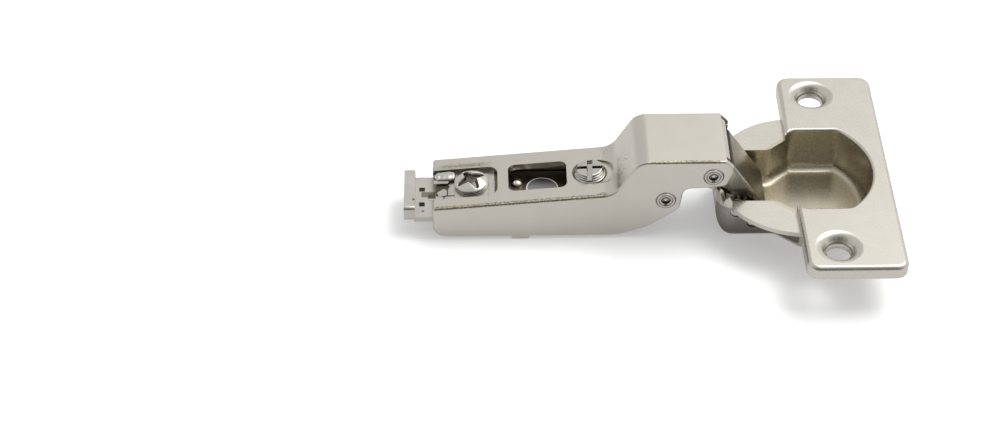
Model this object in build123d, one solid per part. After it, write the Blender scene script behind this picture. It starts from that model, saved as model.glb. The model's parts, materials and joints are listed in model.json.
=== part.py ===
from build123d import *
import math
import os

# ------------------------------------------------------------------ sizes, mm
# Working frame: X along the arm toward the door, Y along the hinge pins,
# Z up out of the door face, origin on the door face at the cup's centre.

# flange of the cup
FLANGE_LEFT = -0.9
FLANGE_RIGHT = 19.4
FLANGE_HALF = 30.5
FLANGE_TOP = 2.9
FLANGE_SHEET = 1.2
FLANGE_CORNER = 2.6
FLANGE_ROUND = 1.0
DOOR_HOLE_X = 6.0
DOOR_HOLE_SPACING = 48.0
DOOR_HOLE_R = 2.5
DOOR_SINK_R = 4.0
DOOR_SINK_DEPTH = 1.7
DOOR_BOSS_WALL = 1.0

# drawn pocket and rim of the cup
CUP_SHEET = 1.0
CUP_DEPTH = 8.9
CUP_LEFT = -17.2
CUP_LEFT_LEAN = 0.5
CUP_HEEL_ROUND = 6.0
CUP_ROOM = 1.0
CUP_WIDE_HALF = 13.3
CUP_ARC_R = 16.9
CUP_CORNER = 4.4
CUP_SHOULDER_ROUND = 2.0
CUP_WIDE_ROUND = 3.6
CUP_SHOULDER_X = -5.0
CUP_WIDE_X = 0.2
CUP_FLOOR_ROUND = 3.0
RIM_R = 18.1
RIM_CENTRE_X = 1.1
RIM_TOP = 1.05
RIM_TIP_X = -13.9
RIM_TIP_ROUND = 1.6
END_WALL_TOP = 3.0
END_WALL_X = -15.1
END_GATE_Z = 0.0
CORNER_SLIT = 2.4
CORNER_SLIT_TIP = 0.1
CORNER_SLIT_SHIFT = 0.5

# pivots, as (x, z)
NOSE_PIVOT = (-18.05, 7.65)
HEEL_PIVOT = (-27.5, 1.45)
DEEP_PIVOT = (-9.3, -4.2)
SHALLOW_PIVOT = (-12.9, -1.3)
ARM_PIN_R = 1.5
ARM_PIN_HEAD_R = 2.2
ARM_PIN_HEAD = 0.25
ARM_PIN_BORE_R = 0.9
ARM_PIN_BORE_DEPTH = 1.6
CUP_PIN_R = 1.25
DEEP_PIN_SUNK = 0.35
SHALLOW_PIN_SUNK = 0.2

# arm channel
ARM_HALF = 8.0
ARM_SHEET = 1.4
ARM_REAR_X = -75.5
ARM_REAR_TOP = -0.5
ARM_BOTTOM = -8.2
CRANK_FOOT = (-38.2, 2.85)
CRANK_TOP = (-33.2, 11.55)
NOSE_X = -14.7
NOSE_LIP_BOTTOM = 9.2
NOSE_TIP_X = -13.9
NOSE_BEVEL = 1.7
TAB_X = (-59.2, -55.5)
TAB_DROP = 0.6
FOLD_ROUND = 0.5
LIP_NOTCH = 0.8
WINDOW_X = (-59.8, -47.6)
WINDOW_HALF = 4.1
WINDOW_CORNER = 1.5
SLOT_END_X = -62.0
SLOT_HALF = 3.95
SLOT_CORNER = 2.0
SHELF_DROP = 1.1
SHELF_SHEET = 1.1
SHANK_SLOT_HALF = 2.35

# screws
OVERLAY_X = -42.8
OVERLAY_HEAD_R = 3.3
OVERLAY_HEAD = 1.1
OVERLAY_THREAD_R = 2.7
OVERLAY_NECK_R = 1.6
OVERLAY_COLLAR_R = 2.6
OVERLAY_COLLAR = 0.8
OVERLAY_COLLAR_DROP = 0.9
OVERLAY_DIMPLE_R = 3.65
OVERLAY_DIMPLE = 0.45
OVERLAY_DIMPLE_REACH = 2.6
OVERLAY_TURN = 5.0
FIXING_BACK = 5.5
FIXING_HEAD_R = 3.2
FIXING_HEAD = 1.1
FIXING_RING_R = 2.9
FIXING_RING = 0.4
FIXING_TURN = 20.0
FIXING_DOME = 0.45
FIXING_SHANK_R = 2.0
FIXING_SHANK_END = -6.6
SCREW_SLOT = 1.1
SCREW_SLOT_DEPTH = 0.9
CLAMP_SHEET = 0.8
CLAMP_BEHIND = 5.1
CLAMP_AHEAD = 3.6

# inner base carried in the arm
BASE_X = (-72.4, -40.6)
BASE_TOP = -2.7
BASE_SHEET = 1.2
BASE_BOTTOM = -7.9
BASE_SLOT_DEPTH = 5.2
BASE_PAD_HALF_X = 3.0
BASE_PAD_HALF_Y = 3.6
BASE_HOOK_LENGTH = 2.2
RIVET_X = -52.65
RIVET_HEAD_R = 3.45
RIVET_HEAD = 0.8
RIVET_SHANK_R = 1.6
STUD_X = -57.9
STUD_Y = 2.2
STUD_R = 1.2
STUD_RISE = 1.1

# catch at the rear end
CATCH_REAR_X = -81.5
CATCH_BAR = 2.3
CATCH_BAR_TOP = -1.6
CATCH_BAR_HEIGHT = 3.5
CATCH_NECK_TOP = -4.1
CATCH_SHEET = 1.2
CATCH_NECK_END = -73.6
CATCH_JOGGLE = 0.8
CATCH_FRONT = 2.0
CATCH_PIVOT = (-62.6, -6.5)
CATCH_PIN_R = 0.8
CATCH_EAR_R = 1.5
CATCH_HOOK_X = -66.0
CATCH_HOOK_BOTTOM = -8.0
LEAF = 0.4
LEAF_HALF = 3.0
LEAF_TIP_X = -64.2
LEAF_TIP_GAP = 0.25

# links
LINK_SHEET = 1.2
OUTER_NOSE_EYE_R = 2.3
OUTER_CUP_EYE_R = 2.6
OUTER_WEB_TOP = (-14.05, 9.05)
OUTER_WEB_END = (-6.15, -2.75)
OUTER_SHOULDER_Z = 8.85
OUTER_LOW_EDGE = [(-16.4, 3.75), (-14.3, 2.25), (-9.0, -0.15)]
OUTER_NECK_X = -9.35
OUTER_NECK_Z = -2.2
LINK_SIDE_GAP = 0.5
INNER_SHEET = 1.5
INNER_CUP_EYE_R = 2.5
INNER_ARM_EYE_R = 2.75
INNER_BODY = 2.8
INNER_RISE = 3.4
OPEN_SLOT_MIDDLE = Vector(0.0, 0.15)
OPEN_SLOT_TRAVEL = 2.3
OPEN_SLOT_TILT = 10.0
OPEN_SLOT_EXTRA = 0.65
INNER_WEB_STOP = 22.0

# closing springs
SPRING_WIRE = 0.5
SPRING_TURNS = 1.06
SPRING_BORE_GAP = 0.15
SPRING_FLOOR_LEG = 2.6
SPRING_LINK_LEG = 2.6
SPRING_HOOK = 1.2
SPRING_START = 175.0
SPRING_SIDE_GAP = 0.1
SPRING_WALL_GAP = 0.65

# clearances
TURN_FIT = 0.05
PRESS_FIT = 0.01
SIDE_GAP = 0.3
SHADOW_GAP = 0.12
CUT = 40.0


# ------------------------------------------------------------------- helpers
def rounded(corners):
    """Closed flat face from (x, y, radius) corners, each rounded by an arc."""
    joints = []
    count = len(corners)
    for i in range(count):
        here = Vector(corners[i][0], corners[i][1])
        before = Vector(*corners[i - 1][:2])
        after = Vector(*corners[(i + 1) % count][:2])
        radius = corners[i][2] if len(corners[i]) > 2 else 0
        if radius <= 0:
            joints.append((here, None, here))
            continue
        back = (before - here).normalized()
        on = (after - here).normalized()
        half = math.acos(max(-1, min(1, back.dot(on)))) / 2
        reach = radius / math.tan(half)
        middle = (back + on).normalized()
        centre = here + middle * (radius / math.sin(half))
        joints.append((here + back * reach, centre - middle * radius, here + on * reach))
    edges = []
    for i in range(count):
        start, bend, end = joints[i]
        if bend is not None:
            edges.append(ThreePointArc(start, bend, end))
        nxt = joints[(i + 1) % count][0]
        if (nxt - end).length > 1e-6:
            edges.append(Line(end, nxt))
    return make_face(edges)


def across(face, low, high):
    """Solid from a side-view face (x, z), between two values of Y."""
    return Pos(0, high, 0) * extrude(Plane.XZ * face, high - low)


def offset_path(points, depth):
    """Points of an open path moved to its right-hand side by depth."""
    moved = []
    for i, (x, z) in enumerate(points):
        turns = []
        for a, b in ((i - 1, i), (i, i + 1)):
            if a >= 0 and b < len(points):
                dx = points[b][0] - points[a][0]
                dz = points[b][1] - points[a][1]
                size = math.hypot(dx, dz)
                turns.append((dz / size, -dx / size))
        nx = sum(t[0] for t in turns) / len(turns)
        nz = sum(t[1] for t in turns) / len(turns)
        size = nx * nx + nz * nz
        moved.append((x + nx / size * depth, z + nz / size * depth))
    return moved


def rod(centre, radius, low, high):
    """Round bar along Y through a side-view point."""
    return across(Pos(*centre) * Circle(radius), low, high)


def both_sides(solid):
    return solid + mirror(solid, Plane.XZ)


def dome(radius, rise):
    """Shallow cap that stands on Z 0."""
    ball = (radius**2 + rise**2) / (2 * rise)
    cap = Pos(0, 0, rise - ball) * Sphere(ball)
    return cap & Pos(0, 0, rise) * Box(3 * radius, 3 * radius, 2 * rise)


# ----------------------------------------------------------- derived geometry
TOP_SLOPE = math.atan2(CRANK_FOOT[1] - ARM_REAR_TOP, CRANK_FOOT[0] - ARM_REAR_X)
TOP_TILT = -math.degrees(TOP_SLOPE)


def arm_top(x):
    return CRANK_FOOT[1] + (x - CRANK_FOOT[0]) * math.tan(TOP_SLOPE)


def on_arm(x, drop=0.0):
    """Place on the sloping arm top, Z square to it, drop below the surface."""
    return Pos(x, 0, arm_top(x)) * Rot(0, TOP_TILT, 0) * Pos(0, 0, -drop)


CUP_NARROW_HALF = ARM_HALF + CUP_ROOM
ARM_INNER = ARM_HALF - ARM_SHEET
OUTER_HALF = ARM_INNER - LINK_SIDE_GAP
OUTER_INNER = OUTER_HALF - LINK_SHEET
INNER_HALF = OUTER_INNER - SIDE_GAP
BASE_HALF = ARM_INNER - SIDE_GAP
BASE_INNER = BASE_HALF - BASE_SHEET
CUP_INNER_HALF = CUP_NARROW_HALF - CUP_SHEET
FIXING_X = SLOT_END_X - FIXING_BACK
CLAMP_X = (FIXING_X - CLAMP_BEHIND, FIXING_X + CLAMP_AHEAD)
CATCH_FRONT_X = CATCH_PIVOT[0] + CATCH_FRONT
SPRING_LOW = OUTER_HALF + SPRING_SIDE_GAP
SPRING_PITCH = (CUP_INNER_HALF - SPRING_WALL_GAP - SPRING_LOW - SPRING_WIRE) / SPRING_TURNS
SPRING_R = CUP_PIN_R + SPRING_BORE_GAP + SPRING_WIRE / 2


# ----------------------------------------------------------------------- cup
def cup_outline():
    """Plan of the pocket: narrow neck by the arm, round belly by the door."""
    belly = Circle(CUP_ARC_R) & Pos(CUP_WIDE_X + CUT / 2, 0) * Rectangle(CUT, 2 * CUP_WIDE_HALF)
    neck = make_face(Polyline(
        (CUP_LEFT, -CUP_NARROW_HALF), (CUP_SHOULDER_X, -CUP_NARROW_HALF), (CUP_WIDE_X, -CUP_WIDE_HALF),
        (CUP_WIDE_X, CUP_WIDE_HALF), (CUP_SHOULDER_X, CUP_NARROW_HALF), (CUP_LEFT, CUP_NARROW_HALF),
        close=True,
    ))
    plan = neck + belly
    for x, radius in (
        (CUP_LEFT, CUP_CORNER), (CUP_SHOULDER_X, CUP_SHOULDER_ROUND), (CUP_WIDE_X, CUP_WIDE_ROUND),
        (math.sqrt(CUP_ARC_R**2 - CUP_WIDE_HALF**2), CUP_WIDE_ROUND),
    ):
        plan = fillet(plan.vertices().filter_by(lambda v: abs(v.X - x) < 0.01), radius)
    return plan


def pocket(plan, top, inset, round_r):
    """Pocket body with a rounded foot and a broad heel under the arm end."""
    bottom = inset - CUP_DEPTH
    body = Pos(0, 0, bottom) * extrude(plan, top - bottom)
    body = fillet(body.faces().sort_by(Axis.Z)[0].edges(), round_r)
    left = CUP_LEFT + inset + 0.1
    heel = rounded([
        (left, top), (left + CUP_LEFT_LEAN, bottom, CUP_HEEL_ROUND - inset), (CUT, bottom), (CUT, top),
    ])
    return body & across(heel, -CUT, CUT)


def make_cup():
    plan = rounded([
        (FLANGE_LEFT, -FLANGE_HALF, FLANGE_CORNER), (FLANGE_RIGHT, -FLANGE_HALF, FLANGE_CORNER),
        (FLANGE_RIGHT, FLANGE_HALF, FLANGE_CORNER), (FLANGE_LEFT, FLANGE_HALF, FLANGE_CORNER),
    ])
    flange = extrude(plan, FLANGE_TOP)
    flange = fillet(flange.faces().sort_by(Axis.Z)[-1].edges(), FLANGE_ROUND)
    wall = FLANGE_SHEET
    hollow = rounded([
        (FLANGE_LEFT + wall, -FLANGE_HALF + wall, 1.4), (FLANGE_RIGHT - wall, -FLANGE_HALF + wall, 1.4),
        (FLANGE_RIGHT - wall, FLANGE_HALF - wall, 1.4), (FLANGE_LEFT + wall, FLANGE_HALF - wall, 1.4),
    ])
    flange -= extrude(hollow, FLANGE_TOP - FLANGE_SHEET)
    for side in (-1, 1):
        place = Pos(DOOR_HOLE_X, side * DOOR_HOLE_SPACING / 2, 0)
        flange += place * extrude(Circle(DOOR_SINK_R + DOOR_BOSS_WALL), FLANGE_TOP - FLANGE_SHEET)
        flange -= place * extrude(Circle(DOOR_HOLE_R), FLANGE_TOP)
        sink = Cone(DOOR_HOLE_R, DOOR_SINK_R, DOOR_SINK_DEPTH, align=(Align.CENTER, Align.CENTER, Align.MAX))
        flange -= place * Pos(0, 0, FLANGE_TOP) * sink
    rim = Pos(RIM_CENTRE_X, 0) * Circle(RIM_R)
    rim &= Pos(RIM_TIP_X + CUT / 2, 0) * Rectangle(CUT, CUT)
    rim = fillet(rim.vertices().filter_by(lambda v: abs(v.X - RIM_TIP_X) < 0.01), RIM_TIP_ROUND)
    rim &= Pos(FLANGE_LEFT + 0.5 - CUT / 2, 0) * Rectangle(CUT, CUT)
    horns = extrude(rim, RIM_TOP)
    plan = cup_outline()
    shell = pocket(plan, END_WALL_TOP, 0, CUP_FLOOR_ROUND)
    low_top = rounded([
        (END_WALL_X, END_WALL_TOP + 1), (RIM_TIP_X + 0.6, 0.2, 0.5), (FLANGE_LEFT, 0.2),
        (FLANGE_LEFT, FLANGE_TOP - 0.4), (CUT, FLANGE_TOP - 0.4), (CUT, END_WALL_TOP + 1),
    ])
    shell -= across(low_top, -CUT, CUT)
    cup = flange + horns + shell
    cup -= pocket(offset(plan, -CUP_SHEET), FLANGE_TOP + 1, CUP_SHEET, CUP_FLOOR_ROUND - CUP_SHEET)
    gate = Box(6, 2 * (INNER_HALF + SIDE_GAP), 8, align=(Align.CENTER, Align.CENTER, Align.MIN))
    cup -= Pos(CUP_LEFT, 0, END_GATE_Z) * gate
    slit = rounded([(-CORNER_SLIT / 2, 0.5), (CORNER_SLIT / 2, 0.5), (0, CORNER_SLIT_TIP - END_WALL_TOP)])
    corner_at = Pos(CUP_LEFT + CUP_CORNER / 2 + CORNER_SLIT_SHIFT, -CUP_NARROW_HALF + CUP_CORNER / 2, END_WALL_TOP)
    cup -= both_sides(corner_at * Rot(0, 0, -45) * extrude(Plane.XZ * slit, 4))
    for pivot in (DEEP_PIVOT, SHALLOW_PIVOT):
        cup -= rod(pivot, CUP_PIN_R + PRESS_FIT, -CUT, CUT)
    return cup


# ----------------------------------------------------------------------- arm
def make_arm():
    side = rounded([
        (ARM_REAR_X, ARM_REAR_TOP, 0.6), (*CRANK_FOOT, 4.0), (*CRANK_TOP, 3.6),
        (NOSE_TIP_X - NOSE_BEVEL, CRANK_TOP[1], 0.5), (NOSE_TIP_X, CRANK_TOP[1] - NOSE_BEVEL, 0.8),
        (NOSE_TIP_X, NOSE_PIVOT[1] + 0.95, 1.5),
        (-15.2, NOSE_PIVOT[1] - 2.8, 1.7), (-23.9, HEEL_PIVOT[1] + 2.7, 1.6),
        (-24.6, HEEL_PIVOT[1] - 2.7, 2.5), (-31.0, HEEL_PIVOT[1] - 7.4, 6.0),
        (-37.2, ARM_BOTTOM, 8.0), (ARM_REAR_X, ARM_BOTTOM, 2.8),
    ])
    arm = across(side, -ARM_HALF, ARM_HALF)
    folds = arm.edges().filter_by(
        lambda e: abs(abs(e.center().Y) - ARM_HALF) < 1e-3
        and e.center().Z > arm_top(e.center().X) - 0.3 and e.center().X < NOSE_TIP_X - NOSE_BEVEL
    )
    arm = fillet(folds, FOLD_ROUND)
    top = [(ARM_REAR_X - 4, arm_top(ARM_REAR_X - 4)), CRANK_FOOT, CRANK_TOP, (NOSE_X, CRANK_TOP[1])]
    under = offset_path(top, ARM_SHEET)
    inside = rounded([
        (*under[0], 0), (*under[1], 4.0 + ARM_SHEET), (*under[2], 3.6 - ARM_SHEET),
        (NOSE_X - ARM_SHEET, under[3][1], 0.3), (NOSE_X - ARM_SHEET, NOSE_LIP_BOTTOM, 0),
        (NOSE_X, NOSE_LIP_BOTTOM, 0), (NOSE_X, 20, 0), (0, 20, 0), (0, -20, 0), (-90, -20, 0),
        (-90, under[0][1], 0),
    ])
    arm -= across(inside, -ARM_INNER, ARM_INNER)
    notch = Pos(NOSE_X, ARM_INNER, CRANK_TOP[1]) * Box(1.6, LIP_NOTCH, 2 * (CRANK_TOP[1] - NOSE_LIP_BOTTOM))
    arm -= both_sides(notch)

    tab_box = Box(TAB_X[1] - TAB_X[0], ARM_SHEET, 2 * TAB_DROP)
    tab_at = Pos((TAB_X[0] + TAB_X[1]) / 2, ARM_HALF - ARM_SHEET / 2, ARM_BOTTOM)
    arm += both_sides(tab_at * chamfer(tab_box.edges().filter_by(Axis.Y).group_by(Axis.Z)[0], TAB_DROP / 2))

    window_mid = (WINDOW_X[0] + WINDOW_X[1]) / 2
    window = RectangleRounded(WINDOW_X[1] - WINDOW_X[0], 2 * WINDOW_HALF, WINDOW_CORNER)
    arm -= on_arm(window_mid) * extrude(window, 3, both=True)

    # overlay screw: shallow oval dimple and a clear hole
    dimple = Circle(OVERLAY_DIMPLE_R) + Pos(OVERLAY_DIMPLE_REACH / 4, 0) * Rectangle(
        OVERLAY_DIMPLE_REACH / 2, 2 * OVERLAY_DIMPLE_R
    )
    dimple += Pos(OVERLAY_DIMPLE_REACH / 2, 0) * Circle(OVERLAY_DIMPLE_R)
    arm -= on_arm(OVERLAY_X, OVERLAY_DIMPLE) * extrude(dimple, 2)
    arm -= on_arm(OVERLAY_X) * extrude(Circle(OVERLAY_THREAD_R + TURN_FIT), 3, both=True)

    # rear slot with its sunken shelf, open to the rear
    length = SLOT_END_X - ARM_REAR_X + 3
    slot = rounded([
        (-length, -SLOT_HALF, 0), (0, -SLOT_HALF, SLOT_CORNER),
        (0, SLOT_HALF, SLOT_CORNER), (-length, SLOT_HALF, 0),
    ])
    arm -= on_arm(SLOT_END_X) * extrude(slot, 2 * ARM_SHEET, both=True)
    shelf = rounded([
        (-length + 3.6, -SLOT_HALF - 1.2, 0), (1.2, -SLOT_HALF - 1.2, 2.6),
        (1.2, SLOT_HALF + 1.2, 2.6), (-length + 3.6, SLOT_HALF + 1.2, 0),
    ])
    arm += on_arm(SLOT_END_X, SHELF_DROP) * extrude(shelf, -SHELF_SHEET)
    shank = rounded([
        (-length, -SHANK_SLOT_HALF, 0), (-0.6, -SHANK_SLOT_HALF, SHANK_SLOT_HALF - 0.1),
        (-0.6, SHANK_SLOT_HALF, SHANK_SLOT_HALF - 0.1), (-length, SHANK_SLOT_HALF, 0),
    ])
    arm -= on_arm(SLOT_END_X, SHELF_DROP) * extrude(shank, 3, both=True)

    for pivot in (NOSE_PIVOT, HEEL_PIVOT):
        arm -= rod(pivot, ARM_PIN_R + PRESS_FIT, -CUT, CUT)
    return arm


# --------------------------------------------------------------------- links
def make_outer_link():
    """Pressed channel between the arm's nose and the deep cup pin."""
    nose, cup = NOSE_PIVOT, DEEP_PIVOT
    dx = OUTER_WEB_END[0] - OUTER_WEB_TOP[0]
    dz = OUTER_WEB_END[1] - OUTER_WEB_TOP[1]
    size = math.hypot(dx, dz)
    in_x, in_z = dz / size, -dx / size
    cheek = rounded([
        (nose[0], nose[1] - OUTER_NOSE_EYE_R, 0), (nose[0] - 0.1, OUTER_SHOULDER_Z, 0),
        (OUTER_WEB_TOP[0] - 1.3, OUTER_SHOULDER_Z, 0.4), (*OUTER_WEB_TOP, 0.4),
        (*OUTER_WEB_END, 1.2), (cup[0] + 1.2, cup[1] - OUTER_CUP_EYE_R + 0.6, 1.0),
        (cup[0] - 0.3, cup[1] - 1.6, 0), (OUTER_NECK_X, OUTER_NECK_Z, 0),
        (*OUTER_LOW_EDGE[2], 0.8), (*OUTER_LOW_EDGE[1], 2.0), (*OUTER_LOW_EDGE[0], 0),
    ])
    cheek += Pos(*nose) * Circle(OUTER_NOSE_EYE_R)
    cheek += Pos(*cup) * Circle(OUTER_CUP_EYE_R)
    cheek -= Pos(*SHALLOW_PIVOT) * Circle(CUP_PIN_R + 0.85)
    inner = [
        (OUTER_WEB_TOP[0] + in_x * LINK_SHEET, OUTER_WEB_TOP[1] + in_z * LINK_SHEET),
        (OUTER_WEB_END[0] + in_x * LINK_SHEET, OUTER_WEB_END[1] + in_z * LINK_SHEET),
    ]
    web = rounded([
        (*OUTER_WEB_TOP, 0.4), (*OUTER_WEB_END, 0.5), (*inner[1], 0.3), (*inner[0], 0.3),
    ])
    link = both_sides(across(cheek, OUTER_INNER, OUTER_HALF))
    link += across(web, -OUTER_INNER - 0.2, OUTER_INNER + 0.2)
    link -= rod(nose, ARM_PIN_R + TURN_FIT, -CUT, CUT)
    link -= rod(cup, CUP_PIN_R + TURN_FIT, -CUT, CUT)
    return link


def make_inner_link():
    """Arched channel link under the nose; its arm end has the slotted open pivot."""
    heel, cup = Vector(*HEEL_PIVOT), Vector(*SHALLOW_PIVOT)
    half = (cup - heel).length / 2
    along = (cup - heel).normalized()
    up = Vector(-along.Y, along.X)
    radius = (half**2 + INNER_RISE**2) / (2 * INNER_RISE)
    centre = (heel + cup) * 0.5 + up * (INNER_RISE - radius)
    ring = Pos(centre.X, centre.Y) * (Circle(radius + INNER_BODY / 2) - Circle(radius - INNER_BODY / 2))
    reach = 2 * radius
    wedge = make_face(Polyline(centre, centre + (heel - centre) * 2, centre + up * reach * 2,
                               centre + (cup - centre) * 2, close=True))
    hole = Pos(*heel + OPEN_SLOT_MIDDLE) * Rot(0, 0, OPEN_SLOT_TILT)
    side = ring & wedge
    side += hole * SlotCenterToCenter(OPEN_SLOT_TRAVEL, 2 * INNER_ARM_EYE_R)
    side += Pos(cup.X, cup.Y) * Circle(INNER_CUP_EYE_R)
    side -= hole * SlotCenterToCenter(OPEN_SLOT_TRAVEL, 2 * (ARM_PIN_R + OPEN_SLOT_EXTRA))
    side -= Pos(cup.X, cup.Y) * Circle(CUP_PIN_R + TURN_FIT)
    outer = radius + INNER_BODY / 2
    band = Pos(centre.X, centre.Y) * (Circle(outer) - Circle(outer - INNER_SHEET))
    gap = math.degrees(math.asin(half / radius)) - INNER_WEB_STOP
    fan = make_face(Polyline(
        centre, centre + up.rotate(Axis.Z, gap) * reach, centre + up * reach * 2,
        centre + up.rotate(Axis.Z, -gap) * reach, close=True,
    ))
    link = both_sides(across(side, INNER_HALF - INNER_SHEET, INNER_HALF))
    return link + across(band & fan, -INNER_HALF + 0.4, INNER_HALF - 0.4)


# ---------------------------------------------------------------------- pins
def make_arm_pin(pivot):
    """Hollow-ended rivet through both cheeks of the arm."""
    half = ARM_HALF + ARM_PIN_HEAD
    pin = rod(pivot, ARM_PIN_R, -half, half)
    head = rod(pivot, ARM_PIN_HEAD_R, ARM_HALF, half)
    head = fillet(head.edges().filter_by(GeomType.CIRCLE).sort_by(Axis.Y)[-1], ARM_PIN_HEAD / 2)
    pin += both_sides(head)
    return pin - both_sides(rod(pivot, ARM_PIN_BORE_R, half - ARM_PIN_BORE_DEPTH, half + 1))


def make_cup_pin(pivot, sunk):
    half = CUP_NARROW_HALF - sunk
    pin = rod(pivot, CUP_PIN_R, -half, half)
    return chamfer(pin.edges().filter_by(GeomType.CIRCLE), 0.15)


def make_spring():
    """Torsion spring round the shallow pin: hooked under the link, leg on the cup."""
    helix = Helix(SPRING_PITCH, SPRING_PITCH * SPRING_TURNS, SPRING_R, lefthand=True)
    tip = helix @ 0 - (helix % 0) * SPRING_LINK_LEG
    link_leg = Line(tip, helix @ 0)
    floor_leg = Line(helix @ 1, helix @ 1 + (helix % 1) * SPRING_FLOOR_LEG)
    hook = Line(tip - Vector(0, 0, SPRING_HOOK), tip)
    path = Wire([link_leg, *helix.edges(), floor_leg])
    wire = Circle(SPRING_WIRE / 2)
    coil = sweep(Plane(link_leg @ 0, z_dir=link_leg % 0) * wire, path=path)
    coil += sweep(Plane(hook @ 0, z_dir=hook % 0) * wire, path=hook)
    coil += Pos(*tip) * Sphere(SPRING_WIRE / 2)
    place = Pos(SHALLOW_PIVOT[0], SPRING_LOW + SPRING_WIRE / 2, SHALLOW_PIVOT[1])
    return place * Rot(-90, 0, 0) * Rot(0, 0, SPRING_START) * coil


# -------------------------------------------------------------------- screws
def make_overlay_screw():
    """Adjusting screw: head, thread in the arm, neck and collar in the base."""
    drop = arm_top(OVERLAY_X) - (BASE_TOP - BASE_SHEET) + OVERLAY_COLLAR_DROP
    screw = Pos(0, 0, -2.2) * extrude(Circle(OVERLAY_THREAD_R), 2.2 + 0.3)
    head = extrude(Circle(OVERLAY_HEAD_R), OVERLAY_HEAD)
    head = fillet(head.edges().filter_by(GeomType.CIRCLE).sort_by(Axis.Z)[-1], 0.4)
    screw += Pos(0, 0, 0.25) * head
    screw += Pos(0, 0, -drop - OVERLAY_COLLAR) * extrude(Circle(OVERLAY_NECK_R), drop + OVERLAY_COLLAR)
    screw += Pos(0, 0, -drop - OVERLAY_COLLAR) * extrude(Circle(OVERLAY_COLLAR_R), OVERLAY_COLLAR)
    top = OVERLAY_HEAD + 0.25
    for turn in (0, 90):
        slot = Box(2 * OVERLAY_HEAD_R + 1, SCREW_SLOT, 2 * SCREW_SLOT_DEPTH)
        screw -= Pos(0, 0, top) * Rot(0, 0, OVERLAY_TURN + turn) * slot
    return on_arm(OVERLAY_X, OVERLAY_DIMPLE - 0.1) * screw


def make_fixing_screw():
    """Domed screw that clamps the arm to the base through the rear slot."""
    seat = SHELF_DROP - CLAMP_SHEET - SHADOW_GAP
    head = extrude(Circle(FIXING_RING_R), FIXING_HEAD)
    head += Pos(0, 0, FIXING_RING) * extrude(Circle(FIXING_HEAD_R), FIXING_HEAD - FIXING_RING)
    head += Pos(0, 0, FIXING_HEAD) * dome(FIXING_HEAD_R, FIXING_DOME)
    reach = arm_top(FIXING_X) - seat - FIXING_SHANK_END
    head += Pos(0, 0, -reach) * extrude(Circle(FIXING_SHANK_R), reach + 0.5)
    top = FIXING_HEAD + FIXING_DOME
    for turn in (0, 90):
        slot = Box(4.2, SCREW_SLOT, 2 * SCREW_SLOT_DEPTH + 0.6)
        head -= Pos(0, 0, top) * Rot(0, 0, FIXING_TURN + turn) * slot
    return on_arm(FIXING_X, seat) * head


def make_clamp_plate():
    mid = (CLAMP_X[0] + CLAMP_X[1]) / 2
    plate = RectangleRounded(CLAMP_X[1] - CLAMP_X[0], 2 * (SLOT_HALF - 0.25), 1.6)
    plate -= Pos(FIXING_X - mid, 0) * Circle(FIXING_SHANK_R + 0.3)
    return on_arm(mid, SHELF_DROP - 0.02) * extrude(plate, CLAMP_SHEET)


# ---------------------------------------------------------------- inner base
def make_base():
    """Channel that clips on the cabinet plate and carries the arm."""
    length = BASE_X[1] - BASE_X[0]
    mid = (BASE_X[0] + BASE_X[1]) / 2
    tall = BASE_TOP - BASE_BOTTOM
    base = Pos(mid, 0, BASE_TOP - tall / 2) * Box(length, 2 * BASE_HALF, tall)
    base -= Pos(mid, 0, BASE_TOP - BASE_SHEET - CUT / 2) * Box(2 * length, 2 * BASE_INNER, CUT)
    side_cut = rounded([
        (BASE_X[0] - 1, BASE_BOTTOM - 1, 0), (BASE_X[0] + 3.4, BASE_BOTTOM - 1, 0),
        (BASE_X[0] + 3.4, BASE_BOTTOM + 1.6, 1.0), (BASE_X[0] - 1, BASE_BOTTOM + 1.6, 0),
    ])
    base -= across(side_cut, -CUT, CUT)
    front = BASE_X[1] - BASE_HOOK_LENGTH
    hook_cut = rounded([
        (front - 2.6, BASE_BOTTOM - 1, 0), (front, BASE_BOTTOM - 1, 0),
        (front, BASE_BOTTOM + 2.6, 0.9), (front - 2.6, BASE_BOTTOM + 2.6, 0.9),
    ])
    base -= across(hook_cut, -CUT, CUT)
    pad = Box(2 * BASE_PAD_HALF_X, 2 * BASE_PAD_HALF_Y, 4, align=(Align.CENTER, Align.CENTER, Align.MAX))
    pad = on_arm(FIXING_X, SHELF_DROP + SHELF_SHEET + SHADOW_GAP) * pad
    pad &= Pos(mid, 0, BASE_TOP - 0.4 + CUT / 2) * Box(CUT * 2, CUT, CUT)
    base += pad
    slot = SlotCenterToCenter(2 * BASE_SLOT_DEPTH, 2 * (OVERLAY_NECK_R + 0.25))
    base -= Pos(BASE_X[1], 0, BASE_TOP) * extrude(slot, 3, both=True)
    base -= on_arm(FIXING_X) * extrude(Circle(FIXING_SHANK_R + TURN_FIT), CUT / 2, both=True)
    base -= Pos(RIVET_X, 0, BASE_TOP) * extrude(Circle(RIVET_SHANK_R + PRESS_FIT), 3, both=True)
    base -= Pos(STUD_X, STUD_Y, BASE_TOP) * extrude(Circle(STUD_R + PRESS_FIT), 3, both=True)
    return base - rod(CATCH_PIVOT, CATCH_PIN_R + PRESS_FIT, -CUT, CUT)


def make_base_rivet():
    """Flat-headed rivet seen through the window; it holds the leaf spring."""
    low = BASE_TOP - BASE_SHEET - LEAF
    rivet = Pos(RIVET_X, 0, low) * extrude(Circle(RIVET_SHANK_R), BASE_TOP - low)
    head = extrude(Circle(RIVET_HEAD_R), RIVET_HEAD)
    head = fillet(head.edges().filter_by(GeomType.CIRCLE).sort_by(Axis.Z)[-1], 0.3)
    rivet += Pos(RIVET_X, 0, BASE_TOP) * head
    return rivet + Pos(RIVET_X, 0, low) * extrude(Circle(RIVET_SHANK_R + 0.8), -0.5)


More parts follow.
